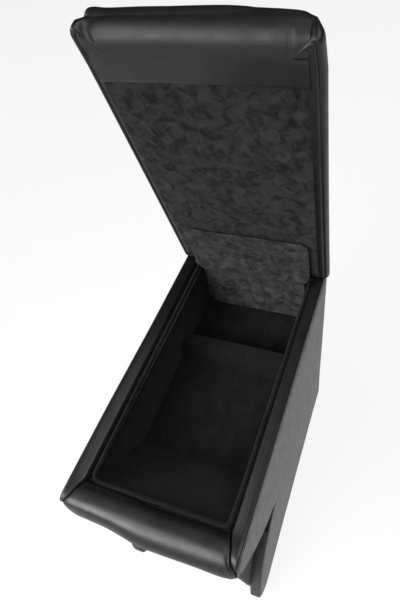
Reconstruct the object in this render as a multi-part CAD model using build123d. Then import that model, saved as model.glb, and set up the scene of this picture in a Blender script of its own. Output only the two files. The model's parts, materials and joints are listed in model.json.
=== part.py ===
from build123d import *
import os
from math import hypot, radians, sin

# Car centre armrest: a leather covered storage box that straddles the console, with a padded lid
# on a piano hinge. Millimetres, +X to the right, +Y to the rear, +Z up. The origin is on the floor,
# under the middle of the box. The lid and the hinge are modelled about the hinge axis, with the lid
# closed, and then put in place with the lid turned open.

# Overall size of the box
BODY_WIDTH = 150.0
BODY_LENGTH = 293.0
RIM_HEIGHT = 238.0

# Layers of the walls
LEATHER = 1.2
SIDE_FOAM = 8.8
REAR_FOAM = 1.8
BOARD = 6.0
LINER_WALL = 2.0
FIT_GAP = 0.3

# Sloping rims along the top of the box
SIDE_RIM_WIDTH = 12.5
SIDE_RIM_DROP = 5.0
REAR_RIM_WIDTH = 10.8
REAR_RIM_DROP = 5.0
RIM_SEAM_DROP = 2.0
BOARD_TOP_DROP = 14.0

# Side outline: nose above, notch, rounded fin below
NOSE_ROUNDING = 15.0
NOSE_TIP_DROP = 25.0
NOTCH_SETBACK = 85.0
NOTCH_DROP = 109.0
NOTCH_ANGLE = 50.0
FIN_BULGE = 15.0
TOE_SETBACK = 21.0
TOE_HEIGHT = 31.5
FOOT_SETBACK = 48.0
BOARD_NOSE_SETBACK = 7.0
BOARD_TOE_SETBACK = 25.0
BOARD_FOOT_SETBACK = 50.0

# Front bolster
BOLSTER_INNER_SETBACK = 27.5

# Storage tray, its piping and the divider bar
TRAY_DEPTH = 66.0
TRAY_EDGE_DROP = 9.0
TRAY_FRONT_TOP_SETBACK = 31.5
TRAY_FRONT_FLOOR_SETBACK = 92.0
TRAY_CORNER = 5.0
PIPING_RADIUS = 2.0
PIPING_SEAT = 0.1
DIVIDER_HEIGHT = 24.0
DIVIDER_BACK_DEPTH = 80.0
DIVIDER_TOP = 12.0
DIVIDER_FOOT = 18.0

# Piano hinge
HINGE_LENGTH = 110.0
HINGE_BARREL_RADIUS = 3.0
HINGE_PIN_RADIUS = 1.5
HINGE_RUNNING_GAP = 0.05
HINGE_KNUCKLES = 7
HINGE_KNUCKLE_GAP = 0.4
HINGE_LEAF = 1.0
HINGE_LEAF_WIDTH = 22.0
SCREW_RADIUS = 1.5
SCREW_HEAD_RADIUS = 2.6
SCREW_LENGTH = 7.0
SCREW_GAP = 0.05
SCREW_PITCH = 40.0
SCREW_COUNT = 3
SCREW_SETBACK = 15.0

# Velour flap over the hinge
FLAP = 2.0
FLAP_GAP = 0.2
FLAP_START = 4.5
FLAP_UPPER_WIDTH = 122.0
FLAP_UPPER_REACH = 63.0
FLAP_CORNER = 6.0

# Lid, measured from the hinge axis
LID_OPEN_ANGLE = 75.0
LID_SEAT_GAP = 0.5
LID_WIDTH = 152.5
LID_REACH = 272.0
LID_REAR_START = 1.2
LID_THICKNESS = 26.0
LID_FRONT_CORNER = 16.0
LID_REAR_CORNER = 6.0
LID_TOP_ROUNDING = 12.0
LID_BOTTOM_ROUNDING = 4.0
LID_BOARD_MARGIN = 7.0
LID_BOARD_REAR = 7.0
LID_BOARD_CORNER = 8.0
LINING_MARGIN = 7.0
LINING_REAR = 8.0
LINING_FRONT = 233.0
LINING_GAP = 0.2

# Places that follow from the sizes above
half_width = BODY_WIDTH / 2
rear_face = BODY_LENGTH / 2
board_outer_x = half_width - LEATHER - SIDE_FOAM
board_inner_x = board_outer_x - BOARD
tray_outer_x = board_inner_x - FIT_GAP
tray_inner_x = tray_outer_x - LINER_WALL
rear_board_outer = LEATHER + REAR_FOAM
rear_board_inner = rear_board_outer + BOARD
tray_rear_outer = rear_board_inner + FIT_GAP
tray_rear_inner = tray_rear_outer + LINER_WALL
board_top = RIM_HEIGHT - BOARD_TOP_DROP
tray_floor = RIM_HEIGHT - TRAY_DEPTH
tray_edge = RIM_HEIGHT - TRAY_EDGE_DROP
floor_board_top = tray_floor - LINER_WALL
floor_board_bottom = floor_board_top - BOARD
hinge_depth = tray_rear_inner + HINGE_BARREL_RADIUS
flap_front = tray_rear_inner + HINGE_LEAF + FLAP_GAP + FLAP
hinge_height = RIM_HEIGHT + LID_SEAT_GAP - HINGE_BARREL_RADIUS
bolster_inner = BODY_LENGTH - BOLSTER_INNER_SETBACK
notch_depth = BODY_LENGTH - NOTCH_SETBACK
notch_height = RIM_HEIGHT - NOTCH_DROP

# Underside of the closed lid, above the hinge axis
lid_plane = HINGE_BARREL_RADIUS

# Where pieces modelled about the hinge axis go: those on the box, and those on the open lid
hinge_place = Pos(0, rear_face - hinge_depth, hinge_height)
lid_place = hinge_place * Rot(-LID_OPEN_ANGLE, 0, 0)

# The tray's sloping front wall gives the front board its slope
slope_floor_depth = BODY_LENGTH - TRAY_FRONT_FLOOR_SETBACK
slope_top_depth = BODY_LENGTH - TRAY_FRONT_TOP_SETBACK
slope_run = (slope_top_depth - slope_floor_depth) / (tray_edge - tray_floor)
slope_stretch = hypot(1, slope_run)


def slope_depth(height, offset):
    """Depth of the sloping front wall at a height, moved out by an offset square to the wall."""
    return slope_floor_depth + (height - tray_floor) * slope_run + offset * slope_stretch


def side_point(depth, height):
    """A point of a side view, from its depth in front of the rear face and its height."""
    return (rear_face - depth, height)


def side_face(edges):
    """A face in the side view, bounded by closed edges."""
    return Plane.YZ * make_face(edges)


def side_polygon(points):
    """A face in the side view with straight edges."""
    return Plane.YZ * make_face(Polyline([side_point(*p) for p in points], close=True))


def side_line(start, end):
    return Line(side_point(*start), side_point(*end))


def tangent_arc(start, end, tangent):
    """An arc of the side view that leaves its start along a tangent."""
    return TangentArc(side_point(*start), side_point(*end), tangent=tangent)


def across(face, half_span):
    """A side view face carried across the box, the same distance to both sides."""
    return extrude(face, half_span, both=True)


def between(face, inner, outer):
    """A side view face carried from one distance right of the middle to another."""
    return Pos(inner, 0, 0) * extrude(face, outer - inner)


def slab(x_low, x_high, depth_low, depth_high, z_low, z_high):
    """A block given by its limits, with depths counted from the rear face."""
    block = Box(x_high - x_low, depth_high - depth_low, z_high - z_low)
    middle = rear_face - (depth_low + depth_high) / 2
    return Pos((x_low + x_high) / 2, middle, (z_low + z_high) / 2) * block


def nose_arcs(start, tip, apex):
    """Front of the box: over the rounded top edge to the tip, then down and back to the notch."""
    over = tangent_arc(start, tip, (-1, 0))
    return [over, tangent_arc(tip, apex, over % 1)]


def fin_arcs(apex, toe, foot):
    """Front edge of the fin, bulging forward from the notch to the toe, and its rounded foot."""
    chord = (toe[0] - apex[0], toe[1] - apex[1])
    bulge = FIN_BULGE / hypot(*chord)
    middle = ((apex[0] + toe[0]) / 2 - chord[1] * bulge, (apex[1] + toe[1]) / 2 + chord[0] * bulge)
    edge = ThreePointArc(side_point(*apex), side_point(*middle), side_point(*toe))
    return [edge, tangent_arc(toe, foot, edge % 1)]


def side_outline(inset):
    """Side panel seen from the side, drawn in by an inset."""
    top = RIM_HEIGHT - inset
    nose_start = (BODY_LENGTH - NOSE_ROUNDING, top)
    tip = (BODY_LENGTH - inset, RIM_HEIGHT - NOSE_TIP_DROP)
    apex = (notch_depth - inset / sin(radians(NOTCH_ANGLE / 2)), notch_height)
    toe = (BODY_LENGTH - TOE_SETBACK - inset, TOE_HEIGHT)
    foot = (BODY_LENGTH - FOOT_SETBACK, inset)
    rear_bottom = (inset, inset)
    rear_top = (inset, top)
    return side_face([
        side_line(rear_bottom, rear_top),
        side_line(rear_top, nose_start),
        *nose_arcs(nose_start, tip, apex),
        *fin_arcs(apex, toe, foot),
        side_line(foot, rear_bottom),
    ])


def rim_line(width, drop, inset):
    """Slope of a rim: the height lost by the inset and the fall for each millimetre inwards."""
    return inset * hypot(width, drop) / width, drop / width


def side_envelope(inset):
    """Padded right side panel with its inward sloping rim, drawn in by an inset at the leather."""
    panel = between(side_outline(inset), board_outer_x, half_width - inset)
    rim_inner = half_width - SIDE_RIM_WIDTH + inset
    rim = slab(rim_inner, board_outer_x, REAR_RIM_WIDTH, bolster_inner, board_top, RIM_HEIGHT)
    lost, fall = rim_line(SIDE_RIM_WIDTH, SIDE_RIM_DROP, inset)
    reach = 2 * SIDE_RIM_WIDTH
    outer = (half_width + reach, RIM_HEIGHT - lost + fall * reach)
    inner = (half_width - reach, RIM_HEIGHT - lost - fall * reach)
    above = make_face(Polyline([outer, (outer[0], outer[1] + reach),
                                (inner[0], outer[1] + reach), inner], close=True))
    waste = extrude(Plane.XZ * above, 2 * BODY_LENGTH, both=True)
    return panel + rim - waste


def rim_zone():
    """Space of the right rim strip: all of the slope, behind the seam on the outer edge."""
    seam = RIM_HEIGHT - RIM_SEAM_DROP
    skin = slab(half_width - LEATHER, half_width + LEATHER, 0, bolster_inner, seam, RIM_HEIGHT)
    slope = slab(half_width - SIDE_RIM_WIDTH, half_width - LEATHER, 0, bolster_inner,
                 board_top, RIM_HEIGHT)
    return skin + slope


def side_board():
    """Right carcass board, cut out for the bolster, with a front edge that shows in the notch."""
    bolster_back = slope_depth(board_top, LINER_WALL + FIT_GAP + BOARD)
    bolster_foot = slope_depth(floor_board_bottom, LINER_WALL + FIT_GAP + BOARD)
    nose = (BODY_LENGTH - BOARD_NOSE_SETBACK, RIM_HEIGHT - NOSE_TIP_DROP)
    toe = (BODY_LENGTH - BOARD_TOE_SETBACK, TOE_HEIGHT)
    foot = (BODY_LENGTH - BOARD_FOOT_SETBACK, 0)
    points = [foot, (rear_board_outer, 0), (rear_board_outer, board_top), (bolster_back, board_top),
              (bolster_foot, floor_board_bottom), nose, toe]
    edges = [side_line(a, b) for a, b in zip(points, points[1:])]
    edges.append(tangent_arc(toe, foot, edges[-1] % 1))
    return between(side_face(edges), board_inner_x, board_outer_x) - bolster(-FIT_GAP)


def rear_envelope(inset):
    """Padded rear panel with its sloping rim, drawn in by an inset at the leather."""
    lost, fall = rim_line(REAR_RIM_WIDTH, REAR_RIM_DROP, inset)
    inner = REAR_RIM_WIDTH - inset
    return across(side_polygon([
        (inset, inset),
        (inset, RIM_HEIGHT - lost - fall * inset),
        (inner, RIM_HEIGHT - lost - fall * inner),
        (inner, board_top),
        (rear_board_outer, board_top),
        (rear_board_outer, inset),
    ]), board_outer_x)


def screw_places():
    return [(i - (SCREW_COUNT - 1) / 2) * SCREW_PITCH for i in range(SCREW_COUNT)]


def box_screws(gap):
    """Screws through the leaf on the box, or their holes when a gap is given."""
    heads = Pos(0, HINGE_BARREL_RADIUS - HINGE_LEAF, -SCREW_SETBACK)
    return hinge_screws(gap, Rot(90, 0, 0), hinge_place * heads)


def lid_screws(gap):
    """Screws through the leaf on the closed lid, or their holes when a gap is given."""
    return hinge_screws(gap, Rot(180, 0, 0), Pos(0, -SCREW_SETBACK, lid_plane - HINGE_LEAF))


def hinge_screws(gap, turn, place):
    """A row of countersunk screws, with their head faces at a place on a leaf."""
    shank = Pos(0, 0, -SCREW_LENGTH / 2) * Cylinder(SCREW_RADIUS + gap, SCREW_LENGTH)
    head = Pos(0, 0, -HINGE_LEAF / 2) * Cone(SCREW_RADIUS + gap, SCREW_HEAD_RADIUS + gap, HINGE_LEAF)
    screw = shank + head
    return [place * Pos(x, 0, 0) * turn * screw for x in screw_places()]


def rear_board():
    board = slab(-board_inner_x, board_inner_x, rear_board_outer, rear_board_inner, 0, board_top)
    return board - box_screws(SCREW_GAP)


def front_board():
    """Sloping board behind the bolster."""
    inner = LINER_WALL + FIT_GAP
    outer = inner + BOARD
    corners = [(floor_board_bottom, inner), (board_top, inner), (board_top, outer),
               (floor_board_bottom, outer)]
    return across(side_polygon([(slope_depth(z, o), z) for z, o in corners]), board_inner_x)


def floor_board():
    """Board under the tray, cut at its front to the slope of the front board."""
    inner = LINER_WALL + FIT_GAP
    return across(side_polygon([
        (rear_board_inner, floor_board_bottom),
        (rear_board_inner, floor_board_top),
        (slope_depth(floor_board_top, inner), floor_board_top),
        (slope_depth(floor_board_bottom, inner), floor_board_bottom),
    ]), board_inner_x)


def bolster(inset):
    """Padded roll across the front, seated on the front board, drawn in at the leather."""
    outer = LINER_WALL + FIT_GAP + BOARD
    back_top = (slope_depth(board_top, outer), board_top)
    back_foot = (slope_depth(floor_board_bottom, outer), floor_board_bottom)
    seat = (bolster_inner + inset, board_top)
    lip = (bolster_inner + inset, RIM_HEIGHT - SIDE_RIM_DROP)
    crest = (BODY_LENGTH - NOSE_ROUNDING, RIM_HEIGHT - inset)
    tip = (BODY_LENGTH - inset, RIM_HEIGHT - NOSE_TIP_DROP)
    apex = (notch_depth + inset, notch_height + inset)
    return across(side_face([
        side_line(seat, lip),
        tangent_arc(crest, lip, (1, 0)),
        *nose_arcs(crest, tip, apex),
        side_line(apex, back_foot),
        side_line(back_foot, back_top),
        side_line(back_top, seat),
    ]), board_outer_x)


def tray_front_edges(solid):
    """The two sloping corner edges at the front of the tray."""
    slope = Vector(0, -slope_run, 1).normalized()
    edges = [e for e in solid.edges() if abs(e.tangent_at(0.5).dot(slope)) > 0.999]
    return [e for e in edges if abs(e.center().X) > tray_inner_x / 2]


def liner_tray():
    """Velour lined tray with a sloping front wall and rounded front corners."""
    rear_top = board_top - FIT_GAP
    outer = across(side_polygon([
        (tray_rear_outer, floor_board_top),
        (tray_rear_outer, tray_edge),
        (slope_depth(tray_edge, LINER_WALL), tray_edge),
        (slope_depth(floor_board_top, LINER_WALL), floor_board_top),
    ]), tray_outer_x)
    outer = fillet(tray_front_edges(outer), TRAY_CORNER + LINER_WALL)
    inner = across(side_polygon([
        (tray_rear_inner, tray_floor),
        (tray_rear_inner, RIM_HEIGHT),
        (slope_depth(RIM_HEIGHT, 0), RIM_HEIGHT),
        (slope_depth(tray_floor, 0), tray_floor),
    ]), tray_inner_x)
    inner = fillet(tray_front_edges(inner), TRAY_CORNER)
    over_rear = slab(-tray_outer_x, tray_outer_x, 0, tray_rear_inner, rear_top, RIM_HEIGHT)
    return outer - inner - over_rear - box_screws(SCREW_GAP)


def liner_piping():
    """Rolled velour edge on top of the tray, along both sides and round the front."""
    side = tray_inner_x + LINER_WALL / 2
    front = rear_face - slope_depth(tray_edge, LINER_WALL / 2)
    rear = rear_face - flap_front - FIT_GAP
    height = tray_edge + PIPING_RADIUS + PIPING_SEAT
    path = FilletPolyline((-side, rear, height), (-side, front, height), (side, front, height),
                          (side, rear, height), radius=TRAY_CORNER + LINER_WALL / 2)
    section = Plane(path @ 0, z_dir=path % 0) * Circle(PIPING_RADIUS)
    return sweep(section, path=path)


def divider_bar():
    """Velour covered bar across the floor of the tray."""
    top = tray_floor + DIVIDER_HEIGHT
    return across(side_polygon([
        (DIVIDER_BACK_DEPTH, tray_floor),
        (DIVIDER_BACK_DEPTH, top),
        (DIVIDER_BACK_DEPTH + DIVIDER_TOP, top),
        (DIVIDER_BACK_DEPTH + DIVIDER_FOOT, tray_floor),
    ]), tray_inner_x - FIT_GAP)


def hinge_bar(radius, start, end):
    """A round bar on the hinge axis, between two distances along it."""
    return Pos((start + end) / 2, 0, 0) * Rot(0, 90, 0) * Cylinder(radius, end - start)


def knuckle_span(index):
    step = HINGE_LENGTH / HINGE_KNUCKLES
    start = -HINGE_LENGTH / 2 + index * step
    return start + HINGE_KNUCKLE_GAP / 2, start + step - HINGE_KNUCKLE_GAP / 2


def hinge_leaf(plate, first):
    """A leaf with every second knuckle, cleared where the other leaf's knuckles turn."""
    leaf = plate
    clear = HINGE_BARREL_RADIUS + HINGE_KNUCKLE_GAP
    for index in range(HINGE_KNUCKLES):
        start, end = knuckle_span(index)
        if index % 2 == first:
            leaf += hinge_bar(HINGE_BARREL_RADIUS, start, end)
        else:
            leaf -= hinge_bar(clear, start - HINGE_KNUCKLE_GAP, end + HINGE_KNUCKLE_GAP)
    bore = hinge_bar(HINGE_PIN_RADIUS + HINGE_RUNNING_GAP, -HINGE_LENGTH, HINGE_LENGTH)
    return leaf - bore


def hinge_leaf_box():
    plate = Pos(0, HINGE_BARREL_RADIUS - HINGE_LEAF / 2, -HINGE_LEAF_WIDTH / 2) * Box(
        HINGE_LENGTH, HINGE_LEAF, HINGE_LEAF_WIDTH)
    return hinge_place * hinge_leaf(plate, 0) - box_screws(SCREW_GAP)


def hinge_leaf_lid():
    plate = lid_block(HINGE_LENGTH / 2, 0, HINGE_LEAF_WIDTH, lid_plane - HINGE_LEAF, lid_plane)
    return hinge_leaf(plate, 1) - lid_screws(SCREW_GAP)


def flap_lower():
    """Lower half of the velour flap, over the leaf and the back of the tray."""
    half = tray_inner_x - FIT_GAP
    return slab(-half, half, flap_front - FLAP, flap_front, tray_floor + FIT_GAP,
                hinge_height - FLAP_START)


def flap_upper():
    """Upper half of the velour flap, over the leaf and the lid lining, with rounded far corners."""
    top = lid_plane - HINGE_LEAF - FLAP_GAP
    flap = lid_block(FLAP_UPPER_WIDTH / 2, FLAP_START, FLAP_UPPER_REACH, top - FLAP, top)
    corners = flap.edges().filter_by(Axis.Z).group_by(Axis.Y)[0]
    return fillet(corners, FLAP_CORNER)


def lid_block(half, start, reach, low, high):
    """A block of the closed lid, from its reach in front of the hinge axis and heights above it."""
    return Pos(0, -(start + reach) / 2, (low + high) / 2) * Box(2 * half, reach - start, high - low)


def lid_plan(half, start, reach, front_corner, rear_corner):
    """Rounded outline of the closed lid seen from above."""
    plan = Pos(0, -(start + reach) / 2) * Rectangle(2 * half, reach - start)
    plan = fillet(plan.vertices().group_by(Axis.Y)[0], front_corner)
    return fillet(plan.vertices().group_by(Axis.Y)[-1], rear_corner)


def lid_pad(inset):
    """Whole padded lid: rounded outline and rounded edges, drawn in by an inset."""
    plan = lid_plan(LID_WIDTH / 2 - inset, LID_REAR_START + inset, LID_REACH - inset,
                    LID_FRONT_CORNER - inset, LID_REAR_CORNER - inset)
    pad = Pos(0, 0, lid_plane + inset) * extrude(plan, LID_THICKNESS - 2 * inset)
    pad = fillet(pad.faces().sort_by(Axis.Z)[-1].edges(), LID_TOP_ROUNDING - inset)
    return fillet(pad.faces().sort_by(Axis.Z)[0].edges(), LID_BOTTOM_ROUNDING - inset)


def lid_board():
    plan = lid_plan(LID_WIDTH / 2 - LID_BOARD_MARGIN, LID_BOARD_REAR, LID_REACH - LID_BOARD_MARGIN,
                    LID_BOARD_CORNER, LID_BOARD_CORNER)
    board = Pos(0, 0, lid_plane + LEATHER) * extrude(plan, BOARD)
    return board - lid_screws(SCREW_GAP)


def lid_window(gap):
    """The velour lining's place in the underside of the leather, widened by a gap."""
    return lid_block(LID_WIDTH / 2 - LINING_MARGIN + gap, LINING_REAR - gap, LINING_FRONT + gap,
                     lid_plane, lid_plane + LEATHER)


def box_pieces():
    """Every piece of the box body, by name."""
    envelope = side_envelope(0)
    foam = side_envelope(LEATHER)
    skin = envelope - foam
    zone = rim_zone()
    right = {
        "side_board": side_board(),
        "side_foam": foam,
        "side_cover": skin - zone,
        "rim_strip": skin & zone,
    }
    pieces = {}
    for name, solid in right.items():
        pieces[name + "_right"] = solid
        pieces[name + "_left"] = mirror(solid, about=Plane.YZ)
    rear_foam = rear_envelope(LEATHER)
    bolster_foam = bolster(LEATHER)
    pieces.update({
        "rear_board": rear_board(),
        "rear_foam": rear_foam,
        "rear_cover": rear_envelope(0) - rear_foam,
        "front_board": front_board(),
        "floor_board": floor_board(),
        "bolster_foam": bolster_foam,
        "bolster_cover": bolster(0) - bolster_foam,
        "liner_tray": liner_tray(),
        "liner_piping": liner_piping(),
        "divider_bar": divider_bar(),
        "hinge_leaf_box": hinge_leaf_box(),
        "hinge_pin": hinge_place * hinge_bar(HINGE_PIN_RADIUS, -HINGE_LENGTH / 2, HINGE_LENGTH / 2),
        "hinge_screws_box": Compound(children=box_screws(0)),
        "flap_lower": flap_lower(),
    })
    return pieces


def lid_pieces():
    """Every piece of the lid body, by name, turned open."""
    inside = lid_pad(LEATHER)
    board = lid_board()
    closed = {
        "lid_board": board,
        "lid_foam": inside - board - lid_screws(SCREW_GAP),
        "lid_cover": lid_pad(0) - inside - lid_window(LINING_GAP),
        "lid_lining": lid_window(0) - lid_screws(SCREW_GAP),
        "hinge_leaf_lid": hinge_leaf_lid(),
        "hinge_screws_lid": Compound(children=lid_screws(0)),
        "flap_upper": flap_upper(),
    }
    return {name: lid_place * solid for name, solid in closed.items()}


os.makedirs("parts", exist_ok=True)
for node, piece in {**box_pieces(), **lid_pieces()}.items():
    export_step(piece, f"parts/{node}.step")
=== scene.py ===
import json
import math
import bmesh
import bpy
from mathutils import Matrix, Vector, noise


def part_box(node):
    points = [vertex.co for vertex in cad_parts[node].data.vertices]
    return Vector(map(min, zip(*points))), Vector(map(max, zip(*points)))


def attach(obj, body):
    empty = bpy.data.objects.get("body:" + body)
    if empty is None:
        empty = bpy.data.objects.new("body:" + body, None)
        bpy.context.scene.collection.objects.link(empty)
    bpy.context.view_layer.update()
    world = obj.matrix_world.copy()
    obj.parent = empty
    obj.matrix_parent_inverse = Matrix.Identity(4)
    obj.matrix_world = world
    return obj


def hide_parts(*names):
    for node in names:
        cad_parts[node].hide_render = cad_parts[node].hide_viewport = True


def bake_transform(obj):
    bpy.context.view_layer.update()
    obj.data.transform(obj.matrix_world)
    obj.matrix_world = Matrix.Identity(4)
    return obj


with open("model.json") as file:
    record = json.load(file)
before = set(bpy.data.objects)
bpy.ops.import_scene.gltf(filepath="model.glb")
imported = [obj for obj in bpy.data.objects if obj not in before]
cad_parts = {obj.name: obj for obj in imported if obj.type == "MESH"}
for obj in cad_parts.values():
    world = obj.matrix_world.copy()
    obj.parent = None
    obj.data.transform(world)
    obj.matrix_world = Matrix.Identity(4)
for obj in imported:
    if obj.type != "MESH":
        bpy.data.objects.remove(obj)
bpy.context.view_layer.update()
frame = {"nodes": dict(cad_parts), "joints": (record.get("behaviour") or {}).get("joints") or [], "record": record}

nodes = frame["nodes"]
scene = bpy.context.scene
mm = 0.001

# Places read from the frame, in millimetres; depths count forward from the rear face
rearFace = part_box("rear_cover")[1].y / mm
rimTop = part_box("rim_strip_right")[1].z / mm
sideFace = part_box("side_cover_right")[1].x / mm
trayLow, trayHigh = [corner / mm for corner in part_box("liner_tray")]
hinge = Vector(frame["joints"][0]["pos_m"])
lidOpen = math.radians(75)
lidPlace = Matrix.Translation(hinge) @ Matrix.Rotation(-lidOpen, 4, "X")

# Height of the closed lid's underside over the hinge axis
lidUnderside = 3.0
bothSides = {"right": 1, "left": -1}


# Small helpers for shader nodes

def newMaterial(name):
    material = bpy.data.materials.new(name)
    material.use_nodes = True
    tree = material.node_tree
    return material, tree, tree.nodes["Principled BSDF"]


def addNode(tree, kind, **values):
    node = tree.nodes.new(kind)
    for key, value in values.items():
        if key in node.inputs:
            node.inputs[key].default_value = value
        else:
            setattr(node, key, value)
    return node


def objectCoords(tree, turn=(0, 0, 0), stretch=(1, 1, 1)):
    coords = addNode(tree, "ShaderNodeTexCoord")
    mapping = addNode(tree, "ShaderNodeMapping", Rotation=turn, Scale=stretch)
    tree.links.new(coords.outputs["Object"], mapping.inputs["Vector"])
    return mapping.outputs["Vector"]


def noiseTexture(tree, vector, scale, detail=2.0, distortion=0.0):
    texture = addNode(tree, "ShaderNodeTexNoise", Scale=scale, Detail=detail, Distortion=distortion)
    tree.links.new(vector, texture.inputs["Vector"])
    return texture.outputs["Fac"]


def spread(tree, value, low, high, fromLow=0.3, fromHigh=0.7):
    ranged = addNode(tree, "ShaderNodeMapRange")
    for key, number in (("From Min", fromLow), ("From Max", fromHigh), ("To Min", low), ("To Max", high)):
        ranged.inputs[key].default_value = number
    tree.links.new(value, ranged.inputs["Value"])
    return ranged.outputs["Result"]


def combine(tree, operation, first, second):
    sums = addNode(tree, "ShaderNodeMath", operation=operation)
    for socket, value in zip(sums.inputs, (first, second)):
        if isinstance(value, (int, float)):
            socket.default_value = value
        else:
            tree.links.new(value, socket)
    return sums.outputs["Value"]


def paint(tree, shader, value, stops, look):
    tones = addNode(tree, "ShaderNodeValToRGB")
    for element, place, key in zip(tones.color_ramp.elements, stops, ("dark", "light")):
        element.position = place
        element.color = (*look[key], 1)
    tree.links.new(value, tones.inputs["Fac"])
    tree.links.new(tones.outputs["Color"], shader.inputs["Base Color"])


def bumpFrom(tree, shader, height, strength, distance):
    bump = addNode(tree, "ShaderNodeBump", Strength=strength, Distance=distance)
    tree.links.new(height, bump.inputs["Height"])
    tree.links.new(bump.outputs["Normal"], shader.inputs["Normal"])


# Materials; marks are counted per metre

leatherLook = {
    "dark": (0.003, 0.003, 0.0032), "light": (0.005, 0.005, 0.0053), "stops": (0.35, 0.65),
    "rough": (0.41, 0.51), "lidRough": (0.44, 0.54), "shades": 45, "wear": 120, "grain": 900,
    "fine": 2340, "fineShare": 0.4, "bump": (0.3, 0.00012),
}


def makeLeather(name, look, roughness):
    material, tree, shader = newMaterial(name)
    vector = objectCoords(tree)
    shade = noiseTexture(tree, vector, look["shades"], detail=4)
    paint(tree, shader, shade, look["stops"], look)
    rough = spread(tree, noiseTexture(tree, vector, look["wear"], detail=5), *roughness)
    tree.links.new(rough, shader.inputs["Roughness"])
    grain = addNode(tree, "ShaderNodeTexVoronoi", Scale=look["grain"], feature="SMOOTH_F1")
    tree.links.new(vector, grain.inputs["Vector"])
    fine = noiseTexture(tree, vector, look["fine"], detail=3)
    fine = combine(tree, "MULTIPLY", fine, look["fineShare"])
    height = combine(tree, "ADD", grain.outputs["Distance"], fine)
    bumpFrom(tree, shader, height, *look["bump"])
    return material


velourLook = {
    "brushTurn": (0, 0.7, 0.5), "brushStretch": (1, 0.45, 1), "swirl": 0.8, "stops": (0.55, 0.95),
    "shader": {"Roughness": 0.95, "Sheen Weight": 0.06, "Sheen Roughness": 0.5, "Specular IOR Level": 0.08},
    "pile": 1500, "pileShare": 0.5, "bump": (0.5, 0.0004),
}
velourCloths = {
    "tray": {"dark": (0.0048, 0.0048, 0.005), "light": (0.0102, 0.0102, 0.0106), "patches": 90},
    "lid": {"dark": (0.005, 0.005, 0.0052), "light": (0.042, 0.042, 0.0432), "patches": 120},
    "flap": {"dark": (0.0095, 0.0095, 0.0098), "light": (0.066, 0.066, 0.0675), "patches": 110},
}


def makeVelour(name, look, cloth):
    material, tree, shader = newMaterial(name)
    vector = objectCoords(tree)
    brushed = objectCoords(tree, turn=look["brushTurn"], stretch=look["brushStretch"])
    patches = noiseTexture(tree, brushed, cloth["patches"], detail=5, distortion=look["swirl"])
    pile = noiseTexture(tree, vector, look["pile"])
    mix = combine(tree, "ADD", patches, combine(tree, "MULTIPLY", pile, look["pileShare"]))
    paint(tree, shader, mix, look["stops"], cloth)
    for key, value in look["shader"].items():
        shader.inputs[key].default_value = value
    bumpFrom(tree, shader, pile, *look["bump"])
    return material


boardLook = {
    "dark": (0.02, 0.02, 0.02), "light": (0.058, 0.057, 0.056), "stops": (0.35, 0.7),
    "stretch": (1, 0.2, 1), "lines": 700, "detail": 4, "rough": (0.8, 0.8), "metal": 0.0,
    "bump": (0.4, 0.0003),
}
steelLook = {
    "dark": (0.32, 0.32, 0.33), "light": (0.55, 0.55, 0.56), "stops": (0.3, 0.7),
    "stretch": (0.05, 1, 1), "lines": 3000, "detail": 3, "rough": (0.28, 0.45), "metal": 1.0,
    "bump": (0.15, 0.0001),
}


def makeLined(name, look):
    material, tree, shader = newMaterial(name)
    vector = objectCoords(tree, stretch=look["stretch"])
    lines = noiseTexture(tree, vector, look["lines"], look["detail"])
    paint(tree, shader, lines, look["stops"], look)
    shader.inputs["Metallic"].default_value = look["metal"]
    tree.links.new(spread(tree, lines, *look["rough"]), shader.inputs["Roughness"])
    bumpFrom(tree, shader, lines, *look["bump"])
    return material


leather = makeLeather("blackLeather", leatherLook, leatherLook["rough"])
lidLeather = makeLeather("lidLeather", leatherLook, leatherLook["lidRough"])
trayVelour = makeVelour("trayVelour", velourLook, velourCloths["tray"])
lidVelour = makeVelour("lidVelour", velourLook, velourCloths["lid"])
flapVelour = makeVelour("flapVelour", velourLook, velourCloths["flap"])
board = makeLined("blackBoard", boardLook)
steel = makeLined("rolledSteel", steelLook)
print("materials ready")


# Finish of the solids

slotMaterials = {
    "black_leather": leather,
    "tray_velour": trayVelour,
    "lid_velour": lidVelour,
    "carcass_board": board,
    "foam": board,
    "hinge_steel": steel,
}
for part in frame["record"]["subparts"]:
    mesh = nodes[part["node"]].data
    mesh.materials.clear()
    mesh.materials.append(slotMaterials[part["material_slot"]])


# Helpers for places and outlines, in millimetres

def boxPoint(x, depth, height):
    return Vector((x, rearFace - depth, height)) * mm


def lidPoint(x, reach, rise):
    return Vector((x, -reach, lidUnderside + rise)) * mm


def sideOf(x):
    return "left" if x < 0 else "right"


def smoothStep(value):
    share = min(1.0, max(0.0, value))
    return share * share * (3 - 2 * share)


# A span is where a smooth change starts and how far it runs
def ramp(value, span):
    start, run = span
    return smoothStep((value - start) / run)


def bell(value, width):
    return math.exp(-(value / width) ** 2)


def wobble(x, y, z, pitch):
    return noise.noise(Vector((x, y, z)) / pitch)


def alongRun(start, end, pitch):
    count = max(1, round((end - start).length / pitch))
    return [start.lerp(end, step / count) for step in range(1, count + 1)]


def alongArc(start, end, tangent, steps):
    side = Vector((-tangent.y, tangent.x))
    chord = end - start
    swing = 2 * math.atan2(chord.dot(side), chord.dot(tangent))
    centre = start + side * (chord.length_squared / (2 * chord.dot(side)))
    turns = [Matrix.Rotation(swing * step / steps, 2) for step in range(1, steps + 1)]
    return [centre + turn @ (start - centre) for turn in turns], turns[-1] @ tangent


def headingAt(path, index):
    return (path[min(index + 1, len(path) - 1)] - path[max(index - 1, 0)]).normalized()


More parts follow.
